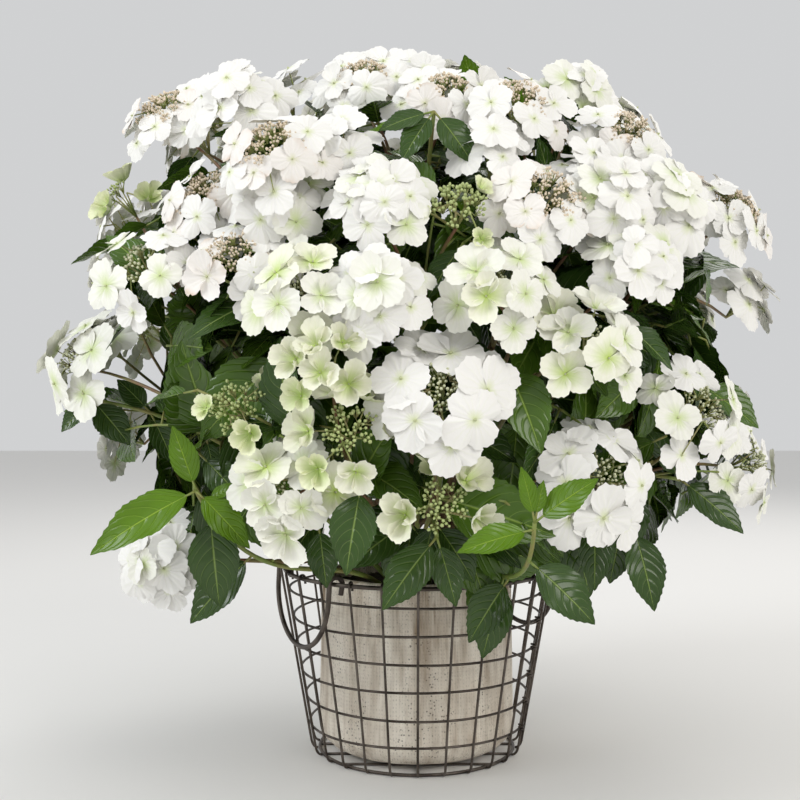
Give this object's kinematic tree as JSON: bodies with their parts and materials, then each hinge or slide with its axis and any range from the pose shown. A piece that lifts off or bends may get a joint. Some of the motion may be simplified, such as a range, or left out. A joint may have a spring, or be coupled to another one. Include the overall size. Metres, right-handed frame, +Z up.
{
  "type": "potted hydrangea shrub in a wire basket",
  "caption": "White-flowered hydrangea shrub with a domed leafy crown, growing in a fluted pot that stands in a round wire basket with two swinging bail handles.",
  "frame": {"origin": "middle of the basket's flat underside, on the surface that it stands on", "axes": "+Z up, -Y toward the front, +X to the right along the crown's widest extent"},
  "size_m": [0.659, 0.6161, 0.6302],
  "materials": {
    "basket_wire": "satin",
    "pot": "matte",
    "compost": "matte",
    "stems": "matte",
    "foliage": "satin",
    "blossom": "matte"
  },
  "bodies": {
    "planter": {"basket_rim": "basket_wire", "basket_wall": "basket_wire", "basket_base": "basket_wire", "pot": "pot", "soil": "compost", "cane_top": "stems", "cane_upper_left": "stems", "cane_top_right": "stems", "cane_right": "stems", "cane_back_upper_1": "stems", "cane_back_upper_2": "stems", "cane_back_upper_3": "stems", "bough_front": "stems", "bough_left_low": "stems", "bough_mid_left": "stems", "bough_middle": "stems", "bough_low_left": "stems", "bough_far_left": "stems", "bough_left_arm": "stems", "bough_left": "stems", "bough_low_right": "stems", "bough_mid_right": "stems", "bough_right_upper": "stems", "bough_far_right": "stems", "bough_back_mid_1": "stems", "bough_back_mid_2": "stems", "bough_back_low_1": "stems", "bough_back_low_2": "stems", "bough_back_mid_3": "stems", "bough_back_mid_4": "stems", "bough_back_mid_5": "stems", "foliage_top": "foliage", "foliage_upper_left": "foliage", "foliage_top_right": "foliage", "foliage_right": "foliage", "foliage_left": "foliage", "foliage_left_arm": "foliage", "foliage_far_left": "foliage", "foliage_middle": "foliage", "foliage_right_upper": "foliage", "foliage_mid_left": "foliage", "foliage_mid_right": "foliage", "foliage_left_low": "foliage", "foliage_front": "foliage", "foliage_far_right": "foliage", "foliage_low_right": "foliage", "foliage_low_left": "foliage", "foliage_back_upper_1": "foliage", "foliage_back_upper_2": "foliage", "foliage_back_upper_3": "foliage", "foliage_back_mid_1": "foliage", "foliage_back_mid_2": "foliage", "foliage_back_mid_3": "foliage", "foliage_back_mid_4": "foliage", "foliage_back_mid_5": "foliage", "foliage_back_low_1": "foliage", "foliage_back_low_2": "foliage"},
    "handle_left": {"handle_left": "basket_wire"},
    "handle_right": {"handle_right": "basket_wire"}
  },
  "joints": [
    {"name": "handle_left_swing", "type": "hinge", "parent": "planter", "child": "handle_left", "pos_m": [-0.09407, -0.04939, 0.1631], "axis": [-0.4648, 0.8854, 0], "range_deg": [0, 90]},
    {"name": "handle_right_swing", "type": "hinge", "parent": "planter", "child": "handle_right", "pos_m": [0.09407, 0.04939, 0.1631], "axis": [0.4648, -0.8854, 0], "range_deg": [0, 90]}
  ]
}
